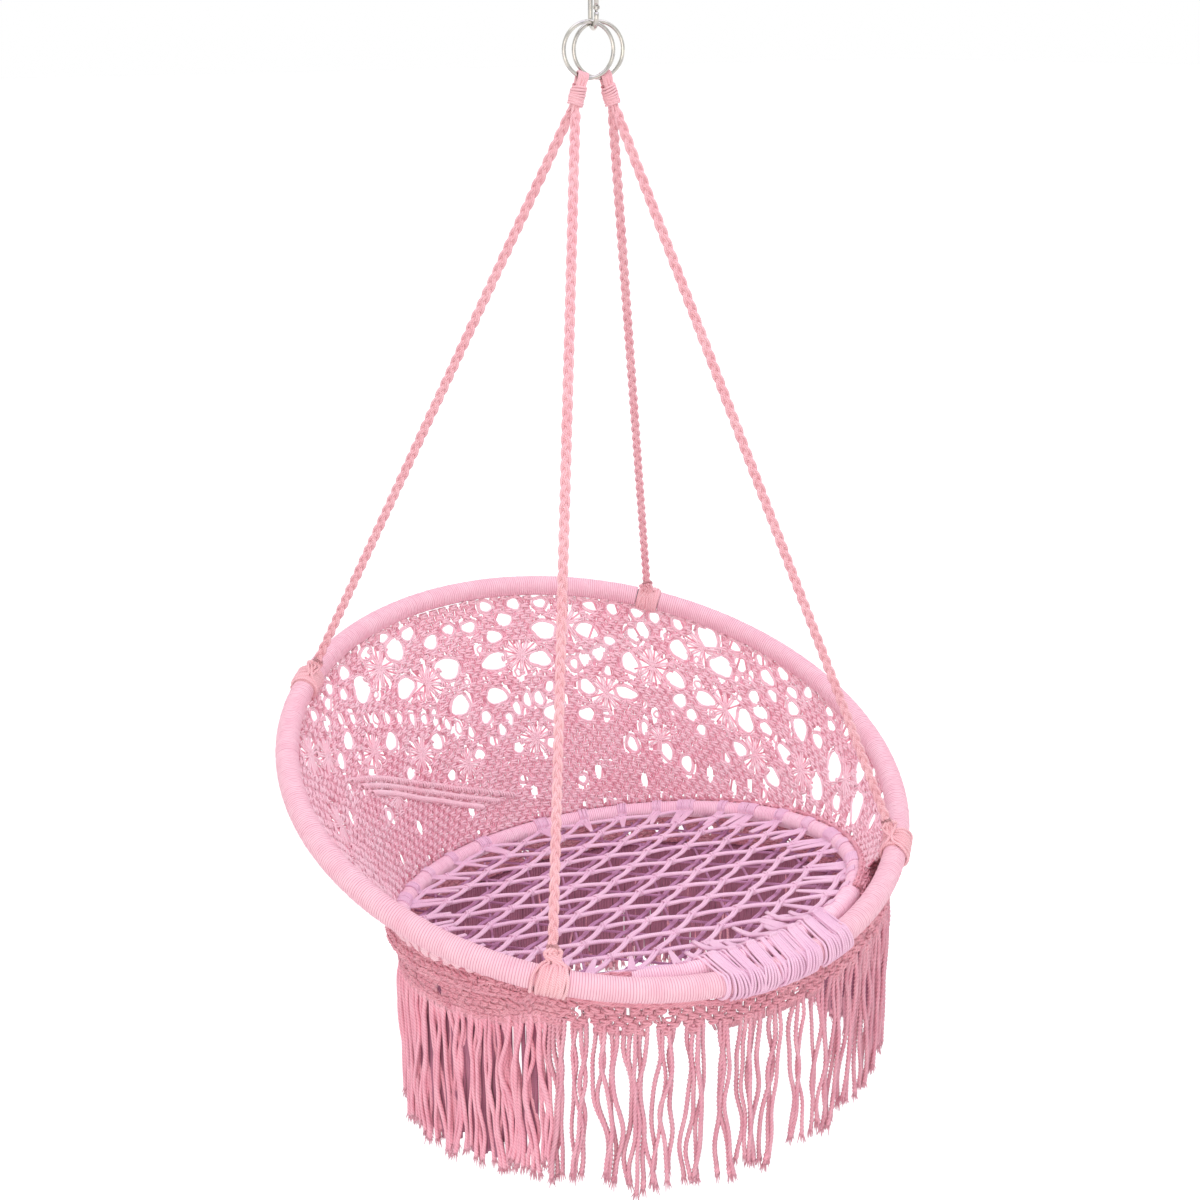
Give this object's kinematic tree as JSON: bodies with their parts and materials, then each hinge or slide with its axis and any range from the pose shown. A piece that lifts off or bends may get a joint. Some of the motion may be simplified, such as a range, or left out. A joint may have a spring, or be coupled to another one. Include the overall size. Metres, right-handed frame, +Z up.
{
  "type": "hammock chair",
  "caption": "Hanging chair of knotted cotton cord: wrapped steel hoops for back and seat, open nets, braided ropes up to rings and a snap hook, and a long fringe below.",
  "frame": {"origin": "inside of the snap hook's top bend, where the ceiling eye or chain bears", "axes": "+Z up along the hanging line, -Y to the front of the chair, +X to the right seen from the front"},
  "size_m": [0.8006, 0.7764, 1.4064],
  "materials": {
    "chromed_steel": "bright plated, polished",
    "spring_steel": "plain drawn wire",
    "hoop_steel": "plain bent tube, hidden under the cord",
    "pale_cotton": "matte twisted cord, pale lilac pink",
    "pink_cotton": "matte twisted cord, salmon pink"
  },
  "bodies": {
    "snap_hook": {"snap_hook_body": "chromed_steel", "snap_hook_rivet": "chromed_steel"},
    "gate": {"snap_hook_gate": "chromed_steel", "gate_plunger": "spring_steel", "gate_spring": "spring_steel"},
    "rings": {"ring_left": "chromed_steel", "ring_right": "chromed_steel"},
    "chair": {"rope_head_left": "pink_cotton", "rope_head_right": "pink_cotton", "whipping_left": "pink_cotton", "whipping_right": "pink_cotton", "rope_front_left": "pink_cotton", "rope_front_right": "pink_cotton", "rope_back_left": "pink_cotton", "rope_back_right": "pink_cotton", "hitch_front_left": "pink_cotton", "hitch_front_right": "pink_cotton", "hitch_back_left": "pink_cotton", "hitch_back_right": "pink_cotton", "back_hoop_tube": "hoop_steel", "back_hoop_wrap_front": "pale_cotton", "back_hoop_wrap_right": "pale_cotton", "back_hoop_wrap_back": "pale_cotton", "back_hoop_wrap_left": "pale_cotton", "seat_hoop_tube": "hoop_steel", "seat_hoop_wrap": "pale_cotton", "front_lashing": "pale_cotton", "back_net_left": "pink_cotton", "back_net_middle": "pink_cotton", "back_net_right": "pink_cotton", "seat_net": "pale_cotton", "hem_band": "pink_cotton", "fringe_front": "pink_cotton", "fringe_right": "pink_cotton", "fringe_back": "pink_cotton", "fringe_left": "pink_cotton"}
  },
  "joints": [
    {"name": "gate_hinge", "type": "hinge", "parent": "snap_hook", "child": "gate", "pos_m": [-0.00391, -0.01135, -0.0303], "axis": [-0.9455, 0.3256, 0], "range_deg": [0, 25], "stiffness_Nm_per_rad": 0.05, "springref_deg": -17.19},
    {"name": "side_sway", "type": "hinge", "parent": "snap_hook", "child": "rings", "pos_m": [0, 0, -0.0513], "axis": [0.3256, 0.9455, 0], "range_deg": [-20, 20]},
    {"name": "fore_aft_swing", "type": "hinge", "parent": "rings", "child": "chair", "pos_m": [0, 0, -0.1008], "axis": [1, 0, 0], "range_deg": [-25, 25]}
  ]
}
